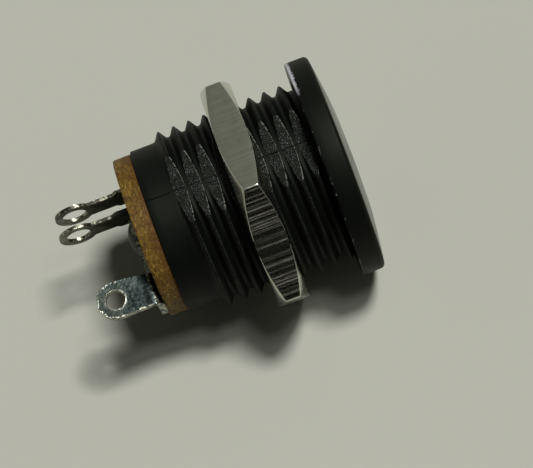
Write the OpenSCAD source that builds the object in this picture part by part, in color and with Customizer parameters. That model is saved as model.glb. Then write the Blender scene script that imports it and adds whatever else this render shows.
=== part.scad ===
// Panel-mount DC power socket, 5.5 x 2.1 mm: a flanged plastic barrel with an outside thread and a hex
// panel nut, a phenolic back disk, a riveted centre pin with its solder lug, and two stamped contacts.
// The socket's axis is X and its mouth faces +X. X = 0 is the flange face that seats on the panel.
// It lies on one flat of the nut and on the flange's rim, with +Z up.

/* [Flange] */
// Reach of the flange outside the thread's crests
flange_lip = 1.175; // [0.7:0.025:2.5]
// Height of the flange's straight rim
flange_t = 1.45; // [0.8:0.05:2.5]
// Rise of the domed front above the rim, at the axis
dome_rise = 0.6; // [0.5:0.1:1.5]
// Round between the rim and the dome
front_round = 0.3; // [0.1:0.05:0.4]
// Chamfer on the rim's rear edge
rear_edge = 0.1; // [0.05:0.05:0.3]
// Depth of the relief round the thread in the seat face
seat_relief = 0.15; // [0.05:0.05:0.4]
// Width of the relief outside the thread's crests
relief_margin = 0.12; // [0.05:0.01:0.3]

/* [Thread] */
// Diameter over the thread's crests
thread_d = 11.65; // [11.3:0.05:12]
// Depth from crest to root
thread_depth = 0.52; // [0.4:0.02:0.56]
// Distance from crest to crest
thread_pitch = 1.0; // [0.85:0.05:1.25]
// Flat at the top of each crest
crest_w = 0.12; // [0.06:0.01:0.18]
// Half of the angle between two flanks
flank_angle = 32; // [25:1:36]
// Number of crests
thread_count = 9; // [7:1:12]
// Distance of the first crest behind the seat face
first_crest = 0.8; // [0.6:0.05:1.2]
// Depth of the two moulding flats over the crests
crest_flat = 0.49; // [0.1:0.005:0.5]
// Turn of the moulding flats, the channel and the contacts about the axis
mould_turn = 12; // [-30:1:30]
// Diameter of the plain end behind the thread
plain_d = 10.55; // [10:0.05:10.6]
// Length of the plain end
plain_len = 1.55; // [0.8:0.05:4]

/* [Socket] */
// Bore that takes the plug
bore_d = 6.2; // [6:0.1:6.4]
// Counterbore at the mouth
mouth_d = 6.6; // [6.5:0.1:7.2]
// Depth of the counterbore behind the mouth's edge
mouth_depth = 2.0; // [1.4:0.1:2.2]
// Lead-in chamfer at the mouth
mouth_chamfer = 0.3; // [0.1:0.05:0.5]
// Distance from the axis to the outer wall of the side channel
channel_reach = 4.2; // [4:0.1:4.5]
// Distance of the channel's front end behind the seat face
channel_front = 2.2; // [1.5:0.1:2.8]

/* [Back disk] */
// Disk diameter
disk_d = 10.3; // [9.9:0.05:10.5]
// Disk thickness
disk_t = 1.2; // [0.8:0.1:2]

/* [Centre pin] */
// Pin diameter
pin_d = 2.0; // [1.8:0.1:2.5]
// Distance of the pin's tip behind the mouth's edge
pin_recess = 2.3; // [2.25:0.05:4]
// Round at the pin's tip
tip_round = 0.35; // [0.1:0.05:0.8]
// Diameter of the collar that seats on the disk
collar_d = 2.6; // [2.5:0.1:2.8]
// Length of the collar
collar_len = 1.8; // [0.5:0.1:2]
// Diameter of the shank through the disk and the lug
shank_d = 1.6; // [1:0.1:1.7]
// Diameter of the rivet head
rivet_d = 2.3; // [2:0.1:2.6]
// Height of the rivet head
rivet_h = 0.4; // [0.2:0.05:0.6]

/* [Pin lug] */
// Thickness of the lug's sheet
lug_t = 0.4; // [0.3:0.05:0.5]
// Radius of the base round the rivet
base_r = 1.4; // [1.3:0.05:1.6]
// Distance of the arm's far edge from the axis
arm_far = 0.5; // [0.4:0.05:1.3]
// Distance from the axis to the middle of the tab, along the arm
tab_offset = 4.0; // [3.7:0.05:4.3]
// Width of the tab at the bend
tab_w = 2.1; // [1.6:0.05:2.2]
// Distance of the tab's outer face from the axis
tab_face = 1.76; // [1.4:0.02:1.9]
// Inner radius of the bend
bend_r = 0.25; // [0.1:0.05:0.35]
// Diameter of the tab's round end
tab_end_d = 2.4; // [2.2:0.02:2.6]
// Diameter of the tab's hole
tab_hole_d = 1.25; // [1:0.05:1.5]
// Distance of the tab's hole behind the disk
tab_reach = 2.7; // [2.3:0.1:4]
// Lean of the tab towards the contacts
tab_lean = 3; // [-5:1:5]

/* [Contacts] */
// Thickness of the contacts' sheet
sheet_t = 0.22; // [0.2:0.02:0.34]
// Distance of the sleeve contact from the axis
sleeve_offset = 3.1; // [3:0.05:3.3]
// Distance of the switch contact from the axis
switch_offset = 1.76; // [1.64:0.02:1.9]
// Width of the contacts' leaves
leaf_w = 2.2; // [1.6:0.1:2.6]
// Width of the wings that stop against the disk
wing_w = 2.9; // [2.8:0.05:3.1]
// Length of the wings
wing_len = 0.6; // [0.3:0.1:0.8]
// Distance from the axis to the contact bump's inner face
bump_offset = 2.45; // [2.3:0.05:2.65]
// Distance of the bump behind the seat face
bump_at = 4.5; // [4:0.1:5]
// Length of the bump's straight crest
bump_len = 0.8; // [0.4:0.1:1.2]
// Length of the switch leaf's pad on the sleeve leaf
pad_len = 0.9; // [0.5:0.1:1.2]
// Distance of the pad's front end from the disk
pad_front = 2.6; // [2.4:0.1:2.9]
// Width of the solder lugs' shoulders
shoulder_w = 2.05; // [1.8:0.05:2.3]
// Length of the sleeve lug's shoulder behind the disk
sleeve_shoulder = 0.6; // [0.3:0.1:1]
// Length of the switch lug's shoulder behind the disk
switch_shoulder = 1.0; // [0.4:0.1:1.3]
// Width of the solder lugs' necks
neck_w = 1.55; // [1.1:0.05:1.7]
// Outer diameter of the solder lugs' rings
ring_d = 2.5; // [2.2:0.05:2.6]
// Diameter of the holes in the rings
ring_hole_d = 1.6; // [1.2:0.05:1.7]
// Distance of the sleeve contact's ring behind the disk
sleeve_reach = 3.5; // [3:0.05:5]
// Distance of the switch contact's ring behind the disk
switch_reach = 3.65; // [3:0.05:5]

/* [Panel nut] */
// Width across the nut's flats, over the flange's diameter
nut_over = 0; // [-0.4:0.1:2]
// Nut thickness
nut_t = 2.0; // [1.5:0.1:3]
// Chamfer angle of both faces
nut_chamfer = 27; // [15:1:35]
// Distance of the nut's front face behind the seat face
nut_gap = 3.55; // [0.5:0.05:5]
// Countersink at both ends of the nut's thread
nut_entry = 0.35; // [0.1:0.05:0.5]

/* [Fits] */
// Gap between the nut's thread and the barrel's
thread_gap = 0.05; // [0.03:0.01:0.08]
// Gap round the contacts in the disk's slots
slot_gap = 0.04; // [0.02:0.01:0.08]
// Gap between the wings and the channel's sides
channel_gap = 0.1; // [0.05:0.01:0.15]

/* [Hidden] */
$fn = 96;
over = 1;

// flange, and a nut that lies level with it
flange_d = thread_d + 2 * flange_lip;
nut_af = flange_d + nut_over;

// barrel, measured along the axis from the seat face
crest_r = thread_d / 2;
root_r = crest_r - thread_depth;
thread_len = first_crest + (thread_count - 1) * thread_pitch + thread_pitch / 2;
barrel_len = thread_len + plain_len;
flank_run = thread_depth * tan(flank_angle);
relief_r = crest_r + relief_margin;

// domed front: a sphere that meets the rim, and the round between them
rim_r = flange_d / 2;
dome_r = (rim_r * rim_r + dome_rise * dome_rise) / (2 * dome_rise);
dome_x = flange_t + dome_rise - dome_r;
round_x = dome_x + sqrt(pow(dome_r - front_round, 2) - pow(rim_r - front_round, 2));
round_meet = (rim_r - front_round) * dome_r / (dome_r - front_round);

// mouth
mouth_edge_r = mouth_d / 2 + mouth_chamfer;
mouth_x = dome_x + sqrt(dome_r * dome_r - mouth_edge_r * mouth_edge_r);

// back of the barrel and of the disk
seat_x = -barrel_len;
back_x = seat_x - disk_t;
channel_w = wing_w + 2 * channel_gap;

// thread gap taken out along the radius, so that the flanks clear by thread_gap
groove_grow = thread_gap / sin(flank_angle);

// turns a profile drawn as [radius, X] round the socket's axis
module lathe() {
    rotate([0, 90, 0])
        rotate_extrude()
            children();
}

// crests of the thread as [radius, X] profiles, moved outward by grow
module crests(grow) {
    for (i = [0 : thread_count - 1])
        translate([grow, -first_crest - i * thread_pitch])
            polygon([
                [root_r - 0.3, -crest_w / 2 - flank_run],
                [root_r, -crest_w / 2 - flank_run],
                [crest_r, -crest_w / 2],
                [crest_r, crest_w / 2],
                [root_r, crest_w / 2 + flank_run],
                [root_r - 0.3, crest_w / 2 + flank_run]
            ]);
}

module flange_profile() {
    difference() {
        polygon([
            [0, 0],
            [rim_r - rear_edge, 0],
            [rim_r, rear_edge],
            [rim_r, round_x],
            [0, round_x]
        ]);
        square([relief_r, seat_relief]);
    }
    intersection() {
        translate([0, dome_x])
            circle(r = dome_r, $fn = 360);
        translate([0, seat_relief])
            square([round_meet, flange_t + dome_rise]);
    }
    translate([rim_r - front_round, round_x])
        circle(r = front_round, $fn = 48);
}

module barrel_profile() {
    difference() {
        union() {
            flange_profile();
            translate([0, -thread_len])
                square([root_r, thread_len + seat_relief]);
            translate([0, -barrel_len])
                square([plain_d / 2, plain_len]);
            crests(0);
        }
        translate([0, -barrel_len - over])
            square([bore_d / 2, barrel_len + flange_t + dome_rise + 2 * over]);
        translate([0, mouth_x - mouth_depth])
            square([mouth_d / 2, mouth_depth + over]);
        polygon([
            [0, mouth_x - mouth_chamfer],
            [mouth_d / 2, mouth_x - mouth_chamfer],
            [mouth_edge_r + over, mouth_x + over],
            [0, mouth_x + over]
        ]);
    }
}

module barrel() {
    color([0.08, 0.08, 0.08])
        difference() {
            lathe()
                barrel_profile();
            rotate([mould_turn, 0, 0])
                for (side = [0, 180])
                    rotate([side, 0, 0])
                        translate([-thread_len, -crest_r, crest_r - crest_flat])
                            cube([thread_len - first_crest / 4, thread_d, over]);
            rotate([mould_turn, 0, 0])
                translate([-barrel_len - over, 0, -channel_w / 2])
                    cube([barrel_len + over - channel_front, channel_reach, channel_w]);
        }
}

module panel_nut() {
    color([0.72, 0.72, 0.7])
        difference() {
            intersection() {
                translate([-nut_gap - nut_t, 0, 0])
                    rotate([0, 90, 0])
                        rotate([0, 0, 30])
                            cylinder(d = nut_af / cos(30), h = nut_t, $fn = 6);
                lathe()
                    nut_limit();
            }
            lathe() {
                translate([0, -nut_gap - nut_t - over])
                    square([root_r + groove_grow, nut_t + 2 * over]);
                crests(groove_grow);
                nut_countersink();
            }
        }
}

// outline of the chamfered faces: each starts at the circle that touches the flats
module nut_limit() {
    half = nut_t / 2;
    out = half / tan(nut_chamfer);
    translate([0, -nut_gap - half])
        polygon([
            [0, -half],
            [nut_af / 2, -half],
            [nut_af / 2 + out, 0],
            [nut_af / 2, half],
            [0, half]
        ]);
}

module nut_countersink() {
    mouth_r = crest_r + groove_grow;
    for (face = [-nut_gap, -nut_gap - nut_t]) {
        side = face == -nut_gap ? 1 : -1;
        polygon([
            [0, face + side * over],
            [mouth_r + over, face + side * over],
            [mouth_r, face],
            [mouth_r - nut_entry, face - side * nut_entry],
            [0, face - side * nut_entry]
        ]);
    }
}

module back_disk() {
    color([0.55, 0.38, 0.22])
        difference() {
            translate([back_x, 0, 0])
                rotate([0, 90, 0])
                    cylinder(d = disk_d, h = disk_t);
            translate([back_x - over, 0, 0])
                rotate([0, 90, 0])
                    cylinder(d = shank_d, h = disk_t + 2 * over);
            rotate([mould_turn, 0, 0])
                for (offset_y = [sleeve_offset, switch_offset])
                    contact_slot(offset_y);
        }
}

// slot that lets a contact's ring through from the front
module contact_slot(offset_y) {
    slot_w = ring_d + 2 * slot_gap;
    slot_t = sheet_t + 2 * slot_gap;
    translate([back_x - over, offset_y - slot_t / 2, -slot_w / 2])
        cube([disk_t + 2 * over, slot_t, slot_w]);
}

module centre_pin() {
    tip_x = mouth_x - pin_recess;
    color([0.8, 0.78, 0.72])
        lathe() {
            translate([0, seat_x])
                square([pin_d / 2, tip_x - tip_round - seat_x]);
            translate([0, tip_x - tip_round])
                square([pin_d / 2 - tip_round, tip_round]);
            intersection() {
                translate([pin_d / 2 - tip_round, tip_x - tip_round])
                    circle(r = tip_round, $fn = 48);
                translate([0, tip_x - 2 * tip_round])
                    square([pin_d, 3 * tip_round]);
            }
            translate([0, seat_x])
                square([collar_d / 2, collar_len]);
            translate([0, back_x - lug_t])
                square([shank_d / 2, disk_t + lug_t]);
            rivet_profile();
        }
}

// rivet head: a dome over the shank's end
module rivet_profile() {
    head_r = (rivet_d * rivet_d / 4 + rivet_h * rivet_h) / (2 * rivet_h);
    intersection() {
        translate([0, back_x - lug_t - rivet_h + head_r])
            circle(r = head_r);
        translate([0, back_x - lug_t - rivet_h])
            square([rivet_d, rivet_h]);
    }
}

module pin_lug() {
    bend_out = bend_r + lug_t;
    bend_x = back_x - bend_out;
    bend_z = tab_face - bend_out;
    color([0.45, 0.47, 0.48])
        rotate([mould_turn, 0, 0]) {
            // base plate, flat on the disk
            difference() {
                union() {
                    translate([back_x - lug_t, 0, 0])
                        rotate([0, 90, 0])
                            cylinder(r = base_r, h = lug_t);
                    translate([back_x - lug_t, -tab_offset - tab_w / 2, -arm_far])
                        cube([lug_t, tab_offset + tab_w / 2, arm_far + bend_z]);
                }
                translate([back_x - lug_t - over, 0, 0])
                    rotate([0, 90, 0])
                        cylinder(d = shank_d, h = lug_t + 2 * over);
            }
            // bend
            translate([0, -tab_offset + tab_w / 2, 0])
                rotate([90, 0, 0])
                    linear_extrude(tab_w)
                        translate([bend_x, bend_z])
                            intersection() {
                                difference() {
                                    circle(r = bend_out);
                                    circle(r = bend_r);
                                }
                                square(bend_out);
                            }
            // tab with its round end
            translate([0, 0, tab_face - lug_t])
                linear_extrude(lug_t)
                    translate([bend_x, -tab_offset]) {
                        translate([-tab_w / 10, -tab_w / 2])
                            square([tab_w / 10, tab_w]);
                        rotate(-tab_lean)
                            tab_outline(tab_reach - bend_out);
                    }
        }
}

// outline of the tab from its root at the origin to the round end, with the hole's centre at -X len
module tab_outline(len) {
    difference() {
        union() {
            polygon([
                [0, -tab_w / 2],
                [0, tab_w / 2],
                [-len, tab_end_d / 2],
                [-len, -tab_end_d / 2]
            ]);
            translate([-len, 0])
                circle(d = tab_end_d);
        }
        translate([-len, 0])
            circle(d = tab_hole_d);
    }
}

// one straight run of sheet between two points
module run(a, b) {
    translate(a)
        rotate(atan2(b[1] - a[1], b[0] - a[0]))
            translate([0, -sheet_t / 2])
                square([norm(b - a), sheet_t]);
}

// sheet bent along a path in the X-Y plane, with round bends, of width w along Z
module leaf(path, w) {
    translate([0, 0, -w / 2])
        linear_extrude(w) {
            for (i = [0 : len(path) - 2])
                run(path[i], path[i + 1]);
            for (i = [1 : len(path) - 2])
                translate(path[i])
                    circle(d = sheet_t);
        }
}

// flat tail of a contact: wings, a shoulder through the disk, a neck and the solder ring
module tail(offset_y, shoulder_len, reach) {
    ring_x = back_x - reach;
    shoulder_x = back_x - shoulder_len;
    translate([0, offset_y + sheet_t / 2, 0])
        rotate([90, 0, 0])
            linear_extrude(sheet_t)
                difference() {
                    union() {
                        translate([seat_x, -wing_w / 2])
                            square([wing_len, wing_w]);
                        translate([shoulder_x, -shoulder_w / 2])
                            square([seat_x + wing_len - shoulder_x, shoulder_w]);
                        polygon([
                            [shoulder_x, -shoulder_w / 2],
                            [shoulder_x, shoulder_w / 2],
                            [shoulder_x - (shoulder_w - neck_w) / 2, neck_w / 2],
                            [shoulder_x - (shoulder_w - neck_w) / 2, -neck_w / 2]
                        ]);
                        translate([ring_x, -neck_w / 2])
                            square([shoulder_x - ring_x, neck_w]);
                        translate([ring_x, 0])
                            circle(d = ring_d);
                    }
                    translate([ring_x, 0])
                        circle(d = ring_hole_d);
                }
}

module sleeve_contact() {
    bump_y = bump_offset + sheet_t / 2;
    front_y = channel_reach - 0.6;
    color([0.5, 0.5, 0.46])
        rotate([mould_turn, 0, 0]) {
            tail(sleeve_offset, sleeve_shoulder, sleeve_reach);
            leaf([
                [seat_x, sleeve_offset],
                [seat_x + pad_front + 0.4, sleeve_offset],
                [-bump_at - bump_len / 2, bump_y],
                [-bump_at + bump_len / 2, bump_y],
                [-channel_front - 0.3, front_y]
            ], leaf_w);
        }
}

module switch_contact() {
    pad_y = sleeve_offset - sheet_t;
    color([0.5, 0.5, 0.46])
        rotate([mould_turn, 0, 0]) {
            tail(switch_offset, switch_shoulder, switch_reach);
            leaf([
                [seat_x, switch_offset],
                [seat_x + 0.3, switch_offset],
                [seat_x + pad_front - pad_len, pad_y],
                [seat_x + pad_front, pad_y]
            ], leaf_w);
        }
}

barrel();
panel_nut();
back_disk();
centre_pin();
pin_lug();
sleeve_contact();
switch_contact();
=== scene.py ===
import math
import bmesh
import bpy
import numpy as np
from mathutils import Matrix, Vector, noise


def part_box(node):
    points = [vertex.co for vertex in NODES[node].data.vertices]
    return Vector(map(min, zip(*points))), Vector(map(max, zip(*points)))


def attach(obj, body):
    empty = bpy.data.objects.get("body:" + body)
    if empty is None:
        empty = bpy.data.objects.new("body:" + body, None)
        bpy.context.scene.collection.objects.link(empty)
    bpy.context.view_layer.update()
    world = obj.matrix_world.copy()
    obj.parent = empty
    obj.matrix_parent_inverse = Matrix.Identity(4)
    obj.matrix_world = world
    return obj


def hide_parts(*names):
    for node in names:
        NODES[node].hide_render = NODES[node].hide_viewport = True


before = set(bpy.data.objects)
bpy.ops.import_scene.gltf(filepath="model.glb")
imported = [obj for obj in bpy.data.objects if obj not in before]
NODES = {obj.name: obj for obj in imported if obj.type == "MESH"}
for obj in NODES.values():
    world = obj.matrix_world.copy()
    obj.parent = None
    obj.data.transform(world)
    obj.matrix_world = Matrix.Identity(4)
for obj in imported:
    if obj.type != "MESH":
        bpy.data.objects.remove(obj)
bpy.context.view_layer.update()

MM = 0.001
SCENE = bpy.context.scene


def rad(degrees):
    return math.radians(degrees)


def srgb(r, g, b):
    """A colour as it shows on screen, 0 to 255, as the linear values that a shader takes."""
    out = []
    for v in (r, g, b):
        v = v / 255
        out.append(v / 12.92 if v <= 0.04045 else ((v + 0.055) / 1.055) ** 2.4)
    return (*out, 1.0)


# ---------------------------------------------------------------- camera

# The photo's viewpoint: place in mm, the directions of the picture's axes, and the lens in mm.
CAMERA_AT = Vector((-3.4506, -97.9866, 145.0522))
CAMERA_RIGHT = Vector((0.93553754, -0.29172171, -0.19916816))
CAMERA_DOWN = Vector((-0.35315332, -0.78401369, -0.51049511))
CAMERA_AHEAD = Vector((-0.00722806, 0.54792424, -0.83649673))
LENS = 190.22
SENSOR_WIDTH = 36


def make_camera():
    data = bpy.data.cameras.new("camera")
    cam = bpy.data.objects.new("camera", data)
    SCENE.collection.objects.link(cam)
    turn = Matrix((CAMERA_RIGHT, -CAMERA_DOWN, -CAMERA_AHEAD)).transposed()
    cam.matrix_world = Matrix.Translation(CAMERA_AT * MM) @ turn.to_4x4()
    data.sensor_width = SENSOR_WIDTH
    data.lens = LENS
    data.clip_start = 0.01
    data.clip_end = 20
    SCENE.camera = cam


make_camera()


# ---------------------------------------------------------------- node graphs

class Graph:
    """A material's node tree, built with short calls. Sockets and plain values mix freely as inputs."""

    def __init__(self, name):
        self.mat = bpy.data.materials.new(name)
        self.mat.use_nodes = True
        self.tree = self.mat.node_tree
        self.tree.nodes.clear()
        self.out = self.tree.nodes.new("ShaderNodeOutputMaterial")
        coord = self.tree.nodes.new("ShaderNodeTexCoord").outputs["Object"]
        self.mm = self.vec("SCALE", coord, scale=1 / MM)
        parts = self.add("ShaderNodeSeparateXYZ", {0: self.mm})
        self.x, self.y, self.z = parts.outputs

    def add(self, kind, inputs=(), **props):
        node = self.tree.nodes.new(kind)
        for key, value in props.items():
            setattr(node, key, value)
        for key, value in dict(inputs).items():
            if isinstance(value, bpy.types.NodeSocket):
                self.tree.links.new(value, node.inputs[key])
            else:
                node.inputs[key].default_value = value
        return node

    def math(self, how, a, b=0.0):
        return self.add("ShaderNodeMath", {0: a, 1: b}, operation=how).outputs[0]

    def plus(self, a, b):
        return self.math("ADD", a, b)

    def minus(self, a, b):
        return self.math("SUBTRACT", a, b)

    def times(self, *factors):
        """The product of two or more numbers."""
        out = factors[-1]
        for factor in reversed(factors[:-1]):
            out = self.math("MULTIPLY", factor, out)
        return out

    def vec(self, how, a, b=(0, 0, 0), scale=1.0):
        node = self.add("ShaderNodeVectorMath", {0: a, 1: b, 3: scale}, operation=how)
        return node.outputs["Value" if how in ("LENGTH", "DOT_PRODUCT") else "Vector"]

    def off_axis(self):
        """Distance from the socket's axis, in mm."""
        return self.vec("LENGTH", self.vec("MULTIPLY", self.mm, (0, 1, 1)))

    def towards(self, turn):
        """How far out from the axis, in mm, in the direction turned that far from +Y towards +Z."""
        return self.plus(self.times(self.y, math.cos(turn)), self.times(self.z, math.sin(turn)))

    def facing(self, direction):
        """How squarely the surface faces that direction or the opposite one, 0 to 1."""
        normal = self.add("ShaderNodeNewGeometry").outputs["True Normal"]
        return self.math("ABSOLUTE", self.vec("DOT_PRODUCT", normal, direction))

    def noise(self, scale=1.0, stretch=(1, 1, 1), detail=3.0, rough=0.5, shift=0.0, warp=0.0):
        at = self.vec("MULTIPLY", self.mm, stretch)
        at = self.vec("ADD", at, (shift, shift * 1.7, shift * 2.3))
        return self.add(
            "ShaderNodeTexNoise",
            {"Vector": at, "Scale": scale, "Detail": detail, "Roughness": rough, "Distortion": warp},
        ).outputs["Fac"]

    def rings(self, scale):
        """Noise that varies with the distance from the axis alone."""
        at = self.times(self.off_axis(), scale)
        inputs = {"W": at, "Scale": 1.0, "Detail": 3.0}
        return self.add("ShaderNodeTexNoise", inputs, noise_dimensions="1D").outputs["Fac"]

    def ramp(self, fac, *stops):
        node = self.add("ShaderNodeValToRGB", {"Fac": fac})
        ramp = node.color_ramp
        while len(ramp.elements) < len(stops):
            ramp.elements.new(0.5)
        for element, (place, colour) in zip(ramp.elements, stops):
            element.position = place
            element.color = colour
        return node.outputs["Color"]

    def span(self, fac, lo, hi, to_lo=0.0, to_hi=1.0):
        """fac from lo to hi becomes to_lo to to_hi, and stays at the ends beyond them."""
        return self.add(
            "ShaderNodeMapRange",
            {"Value": fac, "From Min": lo, "From Max": hi, "To Min": to_lo, "To Max": to_hi},
        ).outputs["Result"]

    def mix(self, fac, a, b):
        """Colour a where fac is 0 and colour b where it is 1."""
        return self.add("ShaderNodeMix", {0: fac, 6: a, 7: b}, data_type="RGBA").outputs[2]

    def attribute(self, name):
        return self.add("ShaderNodeAttribute", attribute_name=name).outputs["Fac"]

    def bump(self, height, depth_mm, strength=1.0, under=None):
        inputs = {"Height": height, "Distance": depth_mm * MM, "Strength": strength}
        if under is not None:
            inputs["Normal"] = under
        return self.add("ShaderNodeBump", inputs).outputs["Normal"]

    def finish(self, normal, **sockets):
        """Ends the material in one shader. A name's underscores stand for the spaces in its socket's name."""
        inputs = {key.replace("_", " "): value for key, value in sockets.items()}
        shader = self.add("ShaderNodeBsdfPrincipled", {"Normal": normal, **inputs})
        self.tree.links.new(shader.outputs[0], self.out.inputs["Surface"])
        return self.mat


# ---------------------------------------------------------------- materials

# Turns about +X, from +Y towards +Z: the contacts and lugs, the moulding flats, the flange's painted glare
# patch.
LEAF_TURN = rad(12)
FLAT_TURN = rad(102)
GLARE_TURN = rad(54)
# The pin lug's hole: place along the axis, and towards LEAF_TURN. Then the radii where its ring of painted
# highlight ends and the tab's rim of painted highlight begins.
LUG_HOLE = (-14.747, -3.893)
LUG_RING_R = 0.64
LUG_RIM_R = 1.07
# The pin lug's bend, and the back face of its base plate.
LUG_BEND_X = -12.70
LUG_BASE_X = -12.45


def black_plastic():
    g = Graph("black_plastic")
    slow = g.noise(0.35, detail=4, shift=3)
    fine = g.noise(9, detail=2, shift=8)
    flat = g.attribute("crest_flat")
    colour = g.mix(slow, srgb(5, 7, 5), srgb(10, 12, 10))
    # the moulding flats are rubbed and mottled lighter; their pale specks are painted glints, and the ragged
    # pale lines along their edges are painted highlights
    patch = g.span(g.noise(1.3, detail=3, shift=15), 0.38, 0.58, 0.25, 1.0)
    mottle = g.span(g.noise(6, detail=3, rough=0.7, shift=25), 0.35, 0.65)
    speck = g.span(g.noise(16, detail=2, rough=0.7, shift=5), 0.58, 0.66)
    ragged = g.span(g.noise(7, detail=3, rough=0.7, shift=31), 0.44, 0.55)
    colour = g.mix(g.times(flat, g.span(mottle, 0, 1, 0.2, 0.75)), colour, srgb(32, 35, 31))
    colour = g.mix(g.times(speck, patch, flat, 0.8), colour, srgb(140, 146, 142))
    colour = g.mix(g.times(ragged, g.attribute("edge_glint"), 0.95), colour, srgb(176, 180, 170))
    # painted highlights: bright dashes along the flange's rear edge
    dash = g.span(g.noise(1.6, detail=3, rough=0.7, shift=21), 0.56, 0.66)
    colour = g.mix(g.times(dash, g.attribute("rear"), 0.8), colour, srgb(150, 154, 150))
    # painted highlight: a pale glare patch with a ragged edge on the flange's rear corner, at the top
    top = g.span(g.towards(GLARE_TURN), 6.15, 6.6)
    corner = g.span(g.off_axis(), 6.6, 6.75)
    glare_edge = g.plus(g.x, g.times(g.noise(3.5, detail=3, rough=0.7, shift=41), 0.5))
    glare_edge = g.span(glare_edge, 0.40, 0.50, 1.0, 0.0)
    colour = g.mix(g.times(top, corner, glare_edge, 0.85), colour, srgb(196, 196, 204))
    # the mould's parting line, along the middle of both flats
    off = g.math("ABSOLUTE", g.towards(FLAT_TURN + math.pi / 2))
    seam = g.times(g.span(off, 0.02, 0.05, 1.0, 0.0), g.span(g.x, -0.3, -0.2, 1.0, 0.0))
    colour = g.mix(g.times(seam, 0.9), colour, srgb(3, 3, 3))
    rough = g.span(slow, 0.3, 0.7, 0.48, 0.60)
    rough = g.minus(rough, g.times(flat, 0.12))
    rough = g.minus(rough, g.times(g.attribute("gloss"), 0.34))
    normal = g.bump(fine, 0.006, 0.7)
    grain = g.times(g.noise(13, detail=3, rough=0.6, shift=2), flat)
    normal = g.bump(grain, 0.10, 1.0, under=normal)
    return g.finish(
        normal,
        Base_Color=colour,
        Roughness=rough,
        Specular_IOR_Level=0.12,
        Specular_Tint=(0.92, 1.0, 0.86, 1),
    )


def nickel():
    """Plate with cutting marks across its flats, painted highlights along some of them, and turning marks
    round its faces.
    """
    g = Graph("nickel_nut")
    slow = g.noise(0.5, detail=4, shift=1)
    flat = g.attribute("flat")
    lines = g.noise(1.0, stretch=(0.10, 11, 11), detail=4, rough=0.7, shift=4)
    along = g.noise(1.0, stretch=(9, 0.5, 0.5), detail=3, rough=0.6, shift=14)
    colour = g.mix(slow, srgb(196, 197, 184), srgb(210, 210, 200))
    stain = g.span(g.noise(1.6, detail=5, shift=7), 0.56, 0.72)
    colour = g.mix(g.times(stain, 0.30), colour, srgb(146, 142, 122))
    soil = g.span(lines, 0.56, 0.72)
    colour = g.mix(g.times(soil, flat, 0.35), colour, srgb(120, 120, 106))
    # painted highlights: pale, less metallic lines along some of the cutting marks, broken along their length
    broken = g.span(g.noise(1.0, stretch=(1.6, 7, 7), detail=3, rough=0.6, shift=33), 0.36, 0.60, 0.3, 1.0)
    glint = g.times(g.attribute("glint"), broken)
    colour = g.mix(glint, colour, srgb(214, 210, 188))
    rough = g.span(lines, 0.3, 0.7, 0.16, 0.26)
    cuts = g.plus(g.times(lines, flat), g.times(along, flat, 0.4))
    normal = g.bump(cuts, 0.006, 0.6)
    turning = g.times(g.rings(14.0), g.minus(1.0, flat))
    normal = g.bump(turning, 0.012, 0.6, under=normal)
    metal = g.minus(1.0, g.times(glint, 0.5))
    return g.finish(normal, Base_Color=colour, Metallic=metal, Roughness=rough)


def phenolic():
    """Laminate, with streaks along its cut edge, and painted shade darkening it next to the barrel."""
    g = Graph("phenolic")
    fibre = g.noise(1.0, stretch=(6.5, 2.6, 2.6), detail=5, rough=0.7, shift=2, warp=0.8)
    blot = g.noise(1.1, detail=4, shift=6)
    fleck = g.span(g.noise(1.0, stretch=(9, 3.4, 3.4), detail=3, rough=0.6, shift=11, warp=0.5), 0.58, 0.70)
    colour = g.ramp(
        fibre,
        (0.28, srgb(44, 30, 8)),
        (0.43, srgb(82, 62, 18)),
        (0.57, srgb(116, 90, 31)),
        (0.74, srgb(152, 124, 52)),
    )
    colour = g.mix(g.times(fleck, 0.6), colour, srgb(200, 168, 80))
    colour = g.mix(g.times(g.span(blot, 0.48, 0.66), 0.45), colour, srgb(76, 46, 14))
    # painted shade: darker towards the barrel
    front = g.span(g.x, -11.7, -10.95)
    colour = g.mix(g.times(front, 0.62), colour, srgb(76, 45, 13))
    rough = g.span(blot, 0.3, 0.7, 0.48, 0.66)
    normal = g.bump(fibre, 0.10, 0.8)
    return g.finish(normal, Base_Color=colour, Roughness=rough, Specular_IOR_Level=0.22)


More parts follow.
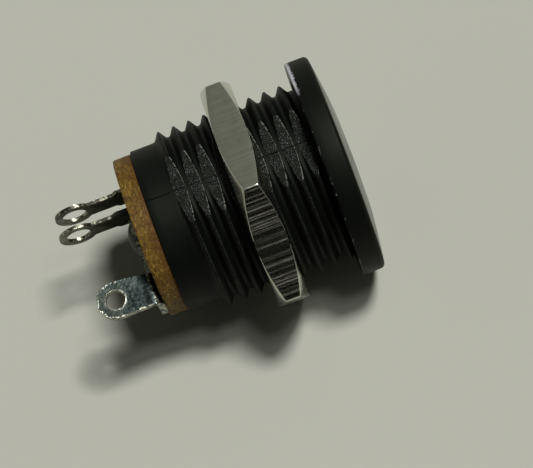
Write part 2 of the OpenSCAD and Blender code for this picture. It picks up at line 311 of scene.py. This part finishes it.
def plated(name, light, dark, rough_lo, rough_hi, patch=0.6, dull_shaded_back=False):
    """Plating with dark patches. With the back dulled, the pin's rivet turns dull and gets painted shade;
    without it, the sheared edges get painted shade and painted highlights.
    """
    g = Graph(name)
    slow = g.noise(1.1, detail=5, rough=0.6, shift=len(name))
    fine = g.noise(7, detail=4, rough=0.6, shift=3)
    colour = g.mix(g.span(slow, 0.36, 0.64), light, dark)
    colour = g.mix(g.times(g.span(fine, 0.5, 0.7), patch), colour, dark)
    rough = g.span(fine, 0.3, 0.7, rough_lo, rough_hi)
    if dull_shaded_back:
        # the rivet is dull, and painted darker as shade
        back = g.span(g.x, -12.0, -11.9, 1.0, 0.0)
        colour = g.mix(back, colour, srgb(58, 58, 52))
        rough = g.plus(rough, g.times(back, 0.3))
    else:
        # painted shade darkens the sheared edges, and painted highlights dot them with bright glints
        sheared = g.span(g.facing((0, -math.sin(LEAF_TURN), math.cos(LEAF_TURN))), 0.6, 0.9)
        glint_noise = g.span(g.noise(3.2, detail=3, rough=0.7, shift=17), 0.50, 0.60)
        colour = g.mix(g.times(sheared, 0.75), colour, srgb(62, 62, 52))
        colour = g.mix(g.times(sheared, glint_noise, 0.95), colour, srgb(232, 228, 206))
        # the lugs' necks are darker next to the disk, the inner one's more
        neck = g.times(g.span(g.x, -14.3, -12.6), g.span(g.towards(LEAF_TURN), 2.2, 2.7, 0.75, 0.25))
        colour = g.mix(neck, colour, srgb(40, 42, 38))
    normal = g.bump(g.plus(g.times(fine, 0.4), slow), 0.04, 0.7)
    return g.finish(normal, Base_Color=colour, Metallic=1.0, Roughness=rough)


def lug_metal():
    """Tinned sheet: a blue-grey mottle, with painted highlights in bright, beaded lines round the tab, its
    hole and its base, and painted shade in the bend.
    """
    g = Graph("lug_metal")
    slow = g.noise(0.9, detail=5, rough=0.6, shift=9)
    fine = g.noise(5, detail=4, rough=0.65, shift=3)
    glint_noise = g.noise(4.5, detail=2, rough=0.6, shift=17)
    # distance from the hole's centre, and from the tab's middle line with its round end
    along = g.plus(g.x, -LUG_HOLE[0])
    aside = g.plus(g.towards(LEAF_TURN), -LUG_HOLE[1])
    hole = g.math("SQRT", g.plus(g.times(along, along), g.times(aside, aside)))
    past = g.math("MINIMUM", along, 0.0)
    edge = g.math("SQRT", g.plus(g.times(past, past), g.times(aside, aside)))
    colour = g.mix(g.span(slow, 0.36, 0.64), srgb(70, 80, 80), srgb(34, 43, 44))
    colour = g.mix(g.times(g.span(fine, 0.48, 0.66), 0.55), colour, srgb(90, 99, 94))
    worn = g.times(g.span(hole, 0.7, 1.3, 1.0, 0.0), g.span(along, -0.2, 0.9, 1.0, 0.15))
    colour = g.mix(g.times(worn, 0.18), colour, srgb(128, 130, 114))
    # painted highlights: a bright ring round the hole and a rim round the tab, uneven in width and brightest
    # on the near side, and the base plate's sheared edge
    wobble = g.times(g.minus(glint_noise, 0.5), 0.35)
    ring = g.span(g.plus(hole, wobble), LUG_RING_R, LUG_RING_R + 0.09, 1.0, 0.0)
    rim = g.span(g.plus(edge, wobble), LUG_RIM_R, LUG_RIM_R + 0.07)
    near = g.span(aside, -0.7, 0.0, 1.0, 0.38)
    tab = g.span(g.x, LUG_BEND_X - 0.05, LUG_BEND_X + 0.1, 1.0, 0.0)
    bright = g.times(g.math("MAXIMUM", ring, g.times(rim, near)), tab)
    sheared = g.span(g.facing((1, 0, 0)), 0.4, 0.7, 1.0, 0.0)
    base = g.times(g.span(g.x, LUG_BASE_X - 0.05, LUG_BASE_X + 0.01), sheared, g.span(glint_noise, 0.38, 0.52))
    shiny = g.times(g.math("MAXIMUM", bright, base), g.span(glint_noise, 0.42, 0.60, 0.12, 1.0))
    # painted shade in the bend
    bend = g.times(
        g.span(g.x, LUG_BEND_X - 0.5, LUG_BEND_X - 0.1),
        g.span(g.x, LUG_BASE_X - 0.17, LUG_BASE_X - 0.03, 1.0, 0.0),
    )
    colour = g.mix(g.times(bend, 0.8), colour, srgb(22, 26, 26))
    colour = g.mix(shiny, colour, srgb(208, 207, 190))
    metal = g.minus(1.0, g.times(shiny, 0.7))
    rough = g.span(fine, 0.3, 0.7, 0.26, 0.44)
    height = g.plus(g.times(fine, 0.5), g.plus(slow, g.times(shiny, 0.6)))
    normal = g.bump(height, 0.05, 0.8)
    return g.finish(normal, Base_Color=colour, Metallic=metal, Roughness=rough)


def pale_floor():
    g = Graph("pale_floor")
    cloud = g.noise(0.02, detail=3, shift=5)
    colour = g.mix(cloud, srgb(180, 182, 171), srgb(184, 186, 175))
    normal = g.bump(g.noise(3, detail=3), 0.02, 0.2)
    return g.finish(normal, Base_Color=colour, Roughness=0.75, Specular_IOR_Level=0.0)


def black_card():
    g = Graph("black_card")
    normal = g.bump(g.noise(2), 0.02, 0.2)
    return g.finish(normal, Base_Color=(0.008, 0.008, 0.007, 1), Roughness=0.9, Specular_IOR_Level=0.0)


FINISH = {
    "black_plastic": black_plastic(),
    "nickel_nut": nickel(),
    "phenolic": phenolic(),
    "pin_metal": plated(
        "pin_metal", srgb(186, 182, 164), srgb(140, 132, 110), 0.18, 0.32, patch=0.4, dull_shaded_back=True
    ),
    "lug_metal": lug_metal(),
    "contact_metal": plated("contact_metal", srgb(150, 150, 134), srgb(80, 80, 68), 0.26, 0.46),
}


def dress(obj, slot_name):
    obj.data.materials.clear()
    obj.data.materials.append(FINISH[slot_name])


# ---------------------------------------------------------------- meshes

MERGE = 1e-7


def polar(x, r, a):
    """The point at x along the axis, r from it and turned by a from +Y towards +Z. x and r are in mm."""
    return (x * MM, r * math.cos(a) * MM, r * math.sin(a) * MM)


def link_mesh(name, mesh):
    obj = bpy.data.objects.new(name, mesh)
    SCENE.collection.objects.link(obj)
    return obj


def mesh_object(name, verts, faces):
    mesh = bpy.data.meshes.new(name)
    mesh.from_pydata(verts, [], faces)
    mesh.validate()
    return link_mesh(name, mesh)


def point_values(obj, name, values):
    """Keeps one number a point on the mesh, for the materials to read."""
    obj.data.attributes.new(name, "FLOAT", "POINT").data.foreach_set("value", values)


def clean_mesh(obj, angle):
    """Merges doubled points, drops loose ones, and shades smooth but for edges sharper than the angle."""
    bm = bmesh.new()
    bm.from_mesh(obj.data)
    bmesh.ops.remove_doubles(bm, verts=bm.verts, dist=MERGE)
    bmesh.ops.dissolve_degenerate(bm, dist=MERGE, edges=bm.edges)
    loose = [v for v in bm.verts if not v.link_faces]
    bmesh.ops.delete(bm, geom=loose, context="VERTS")
    bmesh.ops.recalc_face_normals(bm, faces=bm.faces)
    for f in bm.faces:
        f.smooth = True
    for e in bm.edges:
        if len(e.link_faces) == 2:
            e.smooth = e.calc_face_angle(0) < rad(angle)
    bm.to_mesh(obj.data)
    bm.free()


# ---------------------------------------------------------------- barrel

# Sizes in mm, as the CAD has them. x is 0 on the flange's seat and grows towards the mouth.
FLANGE_R = 7.0
FLANGE_T = 1.45
REAR_EDGE = 0.1
DOME_RISE = 0.6
ROUND_R = 0.3
DOME_R = (FLANGE_R ** 2 + DOME_RISE ** 2) / (2 * DOME_RISE)
DOME_X = FLANGE_T + DOME_RISE - DOME_R
ROUND_X = DOME_X + math.sqrt((DOME_R - ROUND_R) ** 2 - (FLANGE_R - ROUND_R) ** 2)
CREST_R = 5.825
ROOT_R = 5.305
THREAD_DEPTH = CREST_R - ROOT_R
PITCH = 1.0
CREST_W = 0.12
FLANK_RUN = 0.325
FLAT_R = CREST_R - 0.49
FIRST_CREST = -0.8
THREAD_BACK = -9.3
PLAIN_R = 5.275
BARREL_BACK = -10.85
RELIEF_R = 5.945
RELIEF_X = 0.15
MOUTH_R = 3.3
MOUTH_EDGE_R = 3.6
MOUTH_CHAMFER = 0.3
MOUTH_X = DOME_X + math.sqrt(DOME_R ** 2 - MOUTH_EDGE_R ** 2)
MOUTH_FLOOR = MOUTH_X - 2.0
BORE_R = 3.1
CHANNEL_REACH = 4.2
CHANNEL_HALF = 1.55
CHANNEL_FRONT = -2.2
NUT_FRONT = -3.55
NUT_BACK = -5.55
# The turn at which the helix has its crests where the CAD's rings have theirs.
HELIX_START = rad(34)
# How many turns are built in front of the first crest and behind it. The ends are pressed flat.
TURNS_FRONT = 2
TURNS_BACK = 11
# Plain columns round the barrel, and rows across the dome and round the flange's front edge.
COLUMNS = 300
DOME_ROWS = 22
ROUND_ROWS = 8
# The parting line's height and half its width.
SEAM_RISE = 0.03
SEAM_HALF = 0.045


def smooth(t):
    t = min(1.0, max(0.0, t))
    return t * t * (3 - 2 * t)


def helix_turn(a):
    """Share of a turn that the helix has made at angle a."""
    return ((a - HELIX_START) % (2 * math.pi)) / (2 * math.pi)


def flat_cap(a):
    """Radius of the moulding flats at angle a, or the crest's where there is no flat."""
    c = abs(math.cos(a - FLAT_TURN))
    return min(CREST_R, FLAT_R / c) if c > 1e-6 else CREST_R


def on_flat(a):
    return flat_cap(a) < CREST_R - 1e-4


def parting(a):
    """Height of the mould's parting line: a fine witness along the middle of both flats."""
    near = min(abs(math.remainder(a - FLAT_TURN, math.pi)), 1.0) * CREST_R
    return SEAM_RISE * max(0.0, 1 - near / SEAM_HALF)


def nut_room(x):
    """Largest radius that clears the nut, which turns on the barrel without moving along it."""
    depth = min(NUT_FRONT - x, x - NUT_BACK)
    if depth <= 0:
        return CREST_R + 1
    return max(ROOT_R + 0.005, CREST_R + 0.05 - 2.2 * depth)


def channel_turns():
    """Half the angle that the channel's far wall spans, and half the angle of its mouth in the bore."""
    return math.atan2(CHANNEL_HALF, CHANNEL_REACH), math.asin(CHANNEL_HALF / BORE_R)


def channel_r(a):
    """Radius of the bore's wall at angle a where the contacts' channel is cut beside it."""
    d = abs(math.remainder(a - LEAF_TURN, 2 * math.pi))
    corner, side = channel_turns()
    if d <= corner:
        return CHANNEL_REACH / math.cos(d)
    if d < side:
        return CHANNEL_HALF / math.sin(d)
    return BORE_R


def column_angles():
    """Angles of the barrel's columns: even ones, and those where a flat, a seam or the channel begins."""
    step = 2 * math.pi / COLUMNS
    angles = [i * step for i in range(COLUMNS)]
    corner, side = channel_turns()
    extra = [LEAF_TURN + s * d for s in (-1, 1) for d in (corner - 1e-4, corner + 1e-4, side)]
    edge = math.acos(FLAT_R / CREST_R)
    for line in (FLAT_TURN, FLAT_TURN + math.pi):
        extra += [line + k * SEAM_HALF / CREST_R for k in (-2, -1, 0, 1, 2)]
        extra += [line - edge, line + edge]
    for e in extra:
        e %= 2 * math.pi
        angles = [a for a in angles if abs(math.remainder(a - e, 2 * math.pi)) > step * 0.3 or a in extra]
    angles += [e % (2 * math.pi) for e in extra]
    return sorted(set(round(a, 7) for a in angles))


def thread_rows(a):
    """Points across one pitch at angle a: (offset, radius, share of crest, which edge of the crest's top)."""
    cap = flat_cap(a)
    drop = (CREST_R - cap) / THREAD_DEPTH
    top = CREST_W / 2 + drop * FLANK_RUN
    foot = CREST_W / 2 + FLANK_RUN
    rise = cap - ROOT_R
    rows = [(-0.5, ROOT_R, 0, 0), (-foot - 0.03, ROOT_R + 0.004, 0, 0)]
    for t, crest, line in ((0.07, 0, 0), (0.35, 0, 0), (0.7, 0, 0), (0.93, 0.6, 1)):
        # filled a little at the root and eased at the crest
        fillet = (0.02 * (1 - t) ** 6 - 0.012 * t ** 6) * rise / THREAD_DEPTH
        rows.append((-foot + (foot - top) * t, ROOT_R + rise * t + fillet, crest, line))
    rows.append((-top + 0.025, cap, 1, 0))
    mirrored = [(-o, r, crest, -line) for o, r, crest, line in reversed(rows[1:])]
    return rows + mirrored


ROWS_PER_TURN = len(thread_rows(0.0))


def thread_column(a):
    """The thread's outline at angle a, from the front: (x, radius, share of crest, edge line)."""
    column = []
    for k in range(TURNS_FRONT + TURNS_BACK):
        centre = FIRST_CREST + (TURNS_FRONT - 1 - k + helix_turn(a)) * PITCH
        grown = smooth((0.05 - centre) / 0.3) * smooth((centre - THREAD_BACK) / 0.25)
        for offset, r, crest, line in reversed(thread_rows(a)):
            x = min(RELIEF_X, max(THREAD_BACK, centre + offset * PITCH))
            r = min(ROOT_R + (r - ROOT_R) * grown, nut_room(x))
            r += parting(a) * (1.0 if crest > 0 else 0.5)
            column.append((x, r, crest * grown, line * grown))
    return column


def loop_rows(a):
    """The barrel's section at angle a apart from the thread.

    It runs from the thread's back end, round through the bore and the mouth, and over the flange to the
    thread's front end.
    """
    inner = channel_r(a)
    e = 0.05
    plain = PLAIN_R + parting(a)
    rows = [
        (THREAD_BACK, plain), (THREAD_BACK - 0.5, plain), (BARREL_BACK + 0.5, plain),
        (BARREL_BACK + e, plain), (BARREL_BACK + 0.3 * e, PLAIN_R - 0.3 * e), (BARREL_BACK, PLAIN_R - e),
        (BARREL_BACK, inner), (CHANNEL_FRONT, inner), (CHANNEL_FRONT, BORE_R), (MOUTH_FLOOR, BORE_R),
        (MOUTH_FLOOR, MOUTH_R), (MOUTH_X - MOUTH_CHAMFER, MOUTH_R), (MOUTH_X, MOUTH_EDGE_R),
    ]
    meet = (FLANGE_R - ROUND_R) * DOME_R / (DOME_R - ROUND_R)
    for i in range(1, DOME_ROWS + 1):
        r = MOUTH_EDGE_R + (meet - MOUTH_EDGE_R) * i / DOME_ROWS
        rows.append((DOME_X + math.sqrt(DOME_R ** 2 - r * r), r))
    start = math.asin((FLANGE_R - ROUND_R) / (DOME_R - ROUND_R))
    for i in range(1, ROUND_ROWS + 1):
        t = start + (math.pi / 2 - start) * i / ROUND_ROWS
        rows.append((ROUND_X + ROUND_R * math.cos(t), FLANGE_R - ROUND_R + ROUND_R * math.sin(t)))
    rows += [
        (0.6, FLANGE_R), (0.12, FLANGE_R), (0.035, FLANGE_R - 0.03), (0, FLANGE_R - REAR_EDGE),
        (0, RELIEF_R + 0.03), (0.03, RELIEF_R), (RELIEF_X, RELIEF_R), (RELIEF_X, ROOT_R),
    ]
    return rows


def barrel_faces(angles, count, m, base):
    """Faces between neighbouring columns: count points of thread each, then m points of loop from base on."""
    start = next(i for i, a in enumerate(angles) if a >= HELIX_START)
    n = len(angles)
    faces = []
    for c in range(n):
        d = (c + 1) % n
        here, there = c * count, d * count
        loop, next_loop = base + c * m, base + d * m
        # the helix steps by one pitch where it passes its start
        step = -ROWS_PER_TURN if d == start else 0
        for j in range(count - 1):
            low, high = max(j + step, 0), max(j + 1 + step, 0)
            faces.append((here + j, here + j + 1, there + high, there + low))
        for j in range(m - 1):
            faces.append((loop + j, loop + j + 1, next_loop + j + 1, next_loop + j))
        # join the loop to the thread's two ends
        faces.append((here + count - 1, loop, next_loop, there + count - 1))
        faces.append((loop + m - 1, here, there, next_loop + m - 1))
    faces = [tuple(dict.fromkeys(f)) for f in faces]
    return [f for f in faces if len(f) > 2]


def make_barrel():
    angles = column_angles()
    pts, crests, lines = [], [], []
    for a in angles:
        column = thread_column(a)
        for x, r, crest, line in column:
            pts.append(polar(x, r, a))
            crests.append(crest)
            lines.append(line)
    base = len(pts)
    for a in angles:
        loop = loop_rows(a)
        pts += [polar(x, r, a) for x, r in loop]
        crests += [0.0] * len(loop)
        lines += [0.0] * len(loop)
    obj = mesh_object("threaded_barrel", pts, barrel_faces(angles, len(column), len(loop), base))
    flat, rim, gloss, rear = [], [], [], []
    for (x, y, z), crest, line in zip(pts, crests, lines):
        x, r = x / MM, math.hypot(y, z) / MM
        rubbed = on_flat(math.atan2(z, y))
        flat.append(crest if rubbed else 0.0)
        # strength of the painted highlight along the crest flats' edges: full on the edges towards +X, which
        # face the light, half on the others, faint off the flats
        rim.append(abs(line) * (1.0 if rubbed else 0.07) * (1.0 if line < 0 else 0.5))
        front = x > ROUND_X and MOUTH_EDGE_R < r < FLANGE_R - ROUND_R
        seat = abs(x) < 0.05 and r > RELIEF_R
        gloss.append(0.5 if seat else 1.0 if front else 0.0)
        rear.append(1.0 if x < 0.06 and r > FLANGE_R - 0.12 else 0.0)
    point_values(obj, "crest_flat", flat)
    point_values(obj, "edge_glint", rim)
    point_values(obj, "gloss", gloss)
    point_values(obj, "rear", rear)
    clean_mesh(obj, 30)
    dress(obj, "black_plastic")
    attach(obj, "socket")
    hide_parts("barrel")


make_barrel()


# ---------------------------------------------------------------- panel nut

NUT_APOTHEM = 7.0
NUT_CHAMFER = math.tan(rad(27))
NUT_BORE_R = 5.399
NUT_GROOVE_R = 5.919
PER_FLAT = 150
BORE_ROWS = 24
# The flat that mirrors the ceiling in the photo's view, whose marks hardly show.
PALE_FLAT = 1
# The share of the painted highlights along the marks that this flat keeps.
PALE_SHARE = 0.12
# Where the round of the corner between flat and chamfer ends, and how far the six long edges are worn.
EDGE_ROUND = 0.045
EDGE_WORN = 0.022


def nut_thread_r(x, a):
    """Radius of the nut's helical thread, with the countersinks at both faces."""
    off = abs(math.remainder(x - FIRST_CREST - helix_turn(a), PITCH))
    top, foot = CREST_W / 2, CREST_W / 2 + FLANK_RUN
    t = min(1.0, max(0.0, (foot - off) / (foot - top)))
    depth = min(NUT_FRONT - x, x - NUT_BACK)
    return max(NUT_BORE_R + (NUT_GROOVE_R - NUT_BORE_R) * t, NUT_GROOVE_R - depth)


def striations(count, seed):
    """Tool marks across one flat, most fine and a few deep: their depths in mm, and the strength of the
    painted highlight along each.
    """
    rng = np.random.default_rng(seed)
    fine = rng.normal(0, 1, count)
    fine = np.convolve(fine, (0.25, 0.5, 0.25), "same")
    coarse = np.convolve(rng.normal(0, 1, count), np.hanning(9) / 2.5, "same")
    deep = np.zeros(count)
    for at in rng.integers(2, count - 2, 18):
        deep[at] = rng.uniform(1.2, 2.6)
    bright = rng.normal(0, 1, count) + 0.5 * coarse
    glint = np.clip((bright - 0.5) / 2.2, 0, 0.5) + 0.25 * np.clip(deep, 0, 1)
    depth = 0.0009 * fine + 0.0014 * coarse + 0.0042 * deep
    return depth - depth.min(), np.clip(glint, 0, 1)


def nut_section(a, wide):
    """The nut's closed outline at angle a, wide mm from the axis outside: (x, radius, share of flat)."""
    section = []
    for j in range(1, BORE_ROWS):
        x = NUT_BACK + (NUT_FRONT - NUT_BACK) * j / BORE_ROWS
        section.append((x, nut_thread_r(x, a), 0))
    lip = NUT_GROOVE_R + 0.03
    out = max(0.0, wide - NUT_APOTHEM)
    back = max(0.0, out - 0.03)
    inset = out * NUT_CHAMFER
    rim = [
        (0.02, NUT_GROOVE_R, 0),
        (0, lip, 0),
        (0, (lip + NUT_APOTHEM) / 2, 0),
        (0, NUT_APOTHEM - 0.05, 0),
        (0.3 * back * NUT_CHAMFER, NUT_APOTHEM - 0.002 + 0.3 * back, 0),
        (back * NUT_CHAMFER, NUT_APOTHEM - 0.002 + back, 0),
        (inset + 0.008, wide - 0.008, 0.5),
        (inset + EDGE_ROUND, wide, 1),
    ]
    section += [(NUT_FRONT - step, r, f) for step, r, f in rim]
    x0, x1 = NUT_FRONT - inset - EDGE_ROUND, NUT_BACK + inset + EDGE_ROUND
    section += [(x0 + (x1 - x0) * t, wide, 1) for t in (0.25, 0.5, 0.75)]
    section += [(NUT_BACK + step, r, f) for step, r, f in reversed(rim)]
    return section


def make_nut():
    half = NUT_APOTHEM * math.tan(rad(30))
    pts, faces, flatness, glints = [], [], [], []
    for k in range(6):
        marks, glint = striations(PER_FLAT, 40 + k)
        glint = glint * (PALE_SHARE if k == PALE_FLAT else 1.0)
        middle = rad(30 + 60 * k)
        for i in range(PER_FLAT):
            s = -half + 2 * half * i / PER_FLAT
            a = middle + math.atan2(s, NUT_APOTHEM)
            near = min(1.0, min(s + half, half - s) / 0.15)
            wide = NUT_APOTHEM / math.cos(a - middle) - marks[i] * near
            if i == 0:
                wide -= EDGE_WORN
            section = nut_section(a, wide)
            for x, r, f in section:
                pts.append(polar(x, r, a))
                flatness.append(float(f))
                glints.append(float(f) * float(glint[i]))
    rows = len(section)
    columns = 6 * PER_FLAT
    for c in range(columns):
        d = (c + 1) % columns
        for j in range(rows):
            k = (j + 1) % rows
            faces.append((c * rows + j, c * rows + k, d * rows + k, d * rows + j))
    obj = mesh_object("hex_nut", pts, faces)
    point_values(obj, "flat", flatness)
    point_values(obj, "glint", glints)
    clean_mesh(obj, 24)
    dress(obj, "nickel_nut")
    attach(obj, "nut")
    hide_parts("panel_nut")


make_nut()


# ---------------------------------------------------------------- back disk

DISK_R = 5.15
DISK_BACK = -12.05
DISK_COLUMNS = 420
DISK_ROWS = 14
SLOT_W = 2.58
SLOT_T = 0.30
SLEEVE_OFFSET = 3.1
SWITCH_OFFSET = 1.76
SHANK_R = 0.8


def rough(x, y, z, scale):
    """Smooth noise at a point, about -1 to 1, the same each time."""
    return noise.noise(Vector((x * scale + 3.1, y * scale + 7.7, z * scale + 1.3)))


def box_cutter(name, centre, size, turn):
    mesh = bpy.data.meshes.new(name)
    bm = bmesh.new()
    bmesh.ops.create_cube(bm, size=1)
    bmesh.ops.scale(bm, vec=Vector(size) * MM, verts=bm.verts)
    bmesh.ops.translate(bm, vec=Vector(centre) * MM, verts=bm.verts)
    bmesh.ops.rotate(bm, cent=(0, 0, 0), matrix=Matrix.Rotation(turn, 3, "X"), verts=bm.verts)
    bm.to_mesh(mesh)
    bm.free()
    return link_mesh(name, mesh)


def rod_cutter(name, x0, x1, r):
    mesh = bpy.data.meshes.new(name)
    bm = bmesh.new()
    bmesh.ops.create_cone(
        bm, cap_ends=True, segments=64, radius1=r * MM, radius2=r * MM, depth=(x1 - x0) * MM
    )
    bmesh.ops.rotate(bm, cent=(0, 0, 0), matrix=Matrix.Rotation(math.pi / 2, 3, "Y"), verts=bm.verts)
    bmesh.ops.translate(bm, vec=((x0 + x1) / 2 * MM, 0, 0), verts=bm.verts)
    bm.to_mesh(mesh)
    bm.free()
    return link_mesh(name, mesh)


def carve(obj, cutters):
    """Cuts the cutters out of obj, for good, and removes them."""
    for cutter in cutters:
        mod = obj.modifiers.new("cut", "BOOLEAN")
        mod.operation = "DIFFERENCE"
        mod.solver = "EXACT"
        mod.object = cutter
    bpy.context.view_layer.update()
    graph = bpy.context.evaluated_depsgraph_get()
    mesh = bpy.data.meshes.new_from_object(obj.evaluated_get(graph))
    obj.modifiers.clear()
    obj.data = mesh
    for cutter in cutters:
        bpy.data.objects.remove(cutter)


def disk_column(a):
    """Points along the disk's rim at angle a, from the barrel to the back, where it is chipped."""
    y, z = math.cos(a) * 5, math.sin(a) * 5
    chip = max(0.0, rough(0, y, z, 3.0) - 0.15) * 0.28
    column = []
    for j in range(DISK_ROWS):
        x = BARREL_BACK + (DISK_BACK - BARREL_BACK) * j / (DISK_ROWS - 1)
        r = DISK_R - 0.02
        r += 0.018 * rough(x * 2.2, y, z, 1.6) + 0.010 * rough(x * 6, y, z, 5.0)
        if j == 0:
            r -= 0.05 + 0.04 * rough(1, y, z, 3.0)
        if j == DISK_ROWS - 2:
            r -= 0.5 * chip
        if j == DISK_ROWS - 1:
            r -= 0.07 + chip
        column.append(polar(x, min(r, DISK_R), a))
    return column


def make_disk():
    pts, faces = [], []
    for c in range(DISK_COLUMNS):
        pts += disk_column(2 * math.pi * c / DISK_COLUMNS)
        here, there = c * DISK_ROWS, (c + 1) % DISK_COLUMNS * DISK_ROWS
        for j in range(DISK_ROWS - 1):
            faces.append((here + j, there + j, there + j + 1, here + j + 1))
    faces.append(tuple(c * DISK_ROWS for c in range(DISK_COLUMNS))[::-1])
    faces.append(tuple(c * DISK_ROWS + DISK_ROWS - 1 for c in range(DISK_COLUMNS)))
    obj = mesh_object("phenolic_disk", pts, faces)
    clean_mesh(obj, 40)
    mid = (BARREL_BACK + DISK_BACK) / 2
    cutters = [
        box_cutter("slot_a", (mid, SLEEVE_OFFSET, 0), (3, SLOT_T, SLOT_W), LEAF_TURN),
        box_cutter("slot_b", (mid, SWITCH_OFFSET, 0), (3, SLOT_T, SLOT_W), LEAF_TURN),
        rod_cutter("shank", mid - 1.5, mid + 1.5, SHANK_R),
    ]
    carve(obj, cutters)
    clean_mesh(obj, 40)
    dress(obj, "phenolic")
    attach(obj, "socket")
    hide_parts("back_disk")


make_disk()


# ---------------------------------------------------------------- metal parts carried over

def soften(obj, width):
    """Rounds the sheared edges of a carried-over node."""
    flat = obj.modifiers.new("faces", "DECIMATE")
    flat.decimate_type = "DISSOLVE"
    flat.angle_limit = rad(1)
    edge = obj.modifiers.new("edges", "BEVEL")
    edge.width = width * MM
    edge.segments = 3
    edge.limit_method = "ANGLE"
    edge.angle_limit = rad(40)


for node_name, slot_name, width in (
    ("centre_pin", "pin_metal", 0.02),
    ("pin_lug", "lug_metal", 0.07),
    ("sleeve_contact", "contact_metal", 0.04),
    ("switch_contact", "contact_metal", 0.04),
):
    dress(NODES[node_name], slot_name)
    soften(NODES[node_name], width)


# ---------------------------------------------------------------- stage

FLOOR_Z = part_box("panel_nut")[0][2]
FLOOR_SIZE = 3.0
FLOOR_STEPS = 24
# In metres. The black card's y, half its width, and the heights of its lower and upper edge.
CARD_Y = -0.036
CARD_HALF = 0.05
CARD_LOW = FLOOR_Z + 0.0005
CARD_HIGH = 0.018


def make_floor():
    """A pale floor under the nut's lowest flat."""
    side = [FLOOR_SIZE * (i / FLOOR_STEPS - 0.5) for i in range(FLOOR_STEPS + 1)]
    verts = [(x, y, FLOOR_Z) for x in side for y in side]
    faces = []
    for i in range(FLOOR_STEPS):
        for j in range(FLOOR_STEPS):
            a = i * (FLOOR_STEPS + 1) + j
            faces.append((a, a + FLOOR_STEPS + 1, a + FLOOR_STEPS + 2, a + 1))
    obj = mesh_object("floor", verts, faces)
    obj.data.materials.append(pale_floor())


def make_card():
    """A black card on the near side that only reflections see. The nut's lower flat mirrors it."""
    corners = [(-CARD_HALF, CARD_LOW), (CARD_HALF, CARD_LOW), (CARD_HALF, CARD_HIGH), (-CARD_HALF, CARD_HIGH)]
    obj = mesh_object("black_card", [(x, CARD_Y, z) for x, z in corners], [(0, 1, 2, 3)])
    obj.data.materials.append(black_card())
    obj.visible_camera = False
    obj.visible_diffuse = False
    obj.visible_shadow = False


def sun(name, azimuth, elevation, strength, angle, colour):
    """A soft sun whose light comes from that azimuth, from +X towards +Y, and that elevation."""
    data = bpy.data.lights.new(name, "SUN")
    data.energy = strength
    data.angle = rad(angle)
    data.color = colour
    obj = bpy.data.objects.new(name, data)
    SCENE.collection.objects.link(obj)
    a, e = rad(azimuth), rad(elevation)
    towards = Vector((math.cos(e) * math.cos(a), math.cos(e) * math.sin(a), math.sin(e)))
    obj.rotation_mode = "QUATERNION"
    obj.rotation_quaternion = towards.to_track_quat("Z", "Y")


def make_world():
    """A dim room that lights the shadows a little.

    The camera, metal and glass see a pale horizon under a grey ceiling.
    """
    world = bpy.data.worlds.new("studio")
    SCENE.world = world
    world.use_nodes = True
    tree = world.node_tree
    tree.nodes.clear()
    new, link = tree.nodes.new, tree.links.new
    split = new("ShaderNodeSeparateXYZ")
    link(new("ShaderNodeTexCoord").outputs["Generated"], split.inputs[0])
    ramp = new("ShaderNodeValToRGB")
    link(split.outputs["Z"], ramp.inputs["Fac"])
    ramp.color_ramp.elements[0].position = 0.22
    ramp.color_ramp.elements[0].color = (0.42, 0.425, 0.37, 1)
    ramp.color_ramp.elements[1].position = 0.55
    ramp.color_ramp.elements[1].color = (0.165, 0.17, 0.145, 1)
    path = new("ShaderNodeLightPath")
    seen = path.outputs["Is Camera Ray"]
    for name in ("Is Glossy Ray", "Is Transmission Ray"):
        both = new("ShaderNodeMath")
        both.operation = "MAXIMUM"
        link(seen, both.inputs[0])
        link(path.outputs[name], both.inputs[1])
        seen = both.outputs[0]
    dim = new("ShaderNodeBackground")
    dim.inputs["Color"].default_value = (0.055, 0.055, 0.052, 1)
    room = new("ShaderNodeBackground")
    link(ramp.outputs["Color"], room.inputs["Color"])
    choose = new("ShaderNodeMixShader")
    link(seen, choose.inputs[0])
    link(dim.outputs[0], choose.inputs[1])
    link(room.outputs[0], choose.inputs[2])
    link(choose.outputs[0], new("ShaderNodeOutputWorld").inputs["Surface"])


make_card()
make_floor()
make_world()
sun("key", -9, 70, 2.74, 12, (1.0, 0.99, 0.96))
sun("second", -45, 67, 0.36, 9, (1.0, 0.995, 0.98))

SCENE.view_settings.view_transform = "Standard"
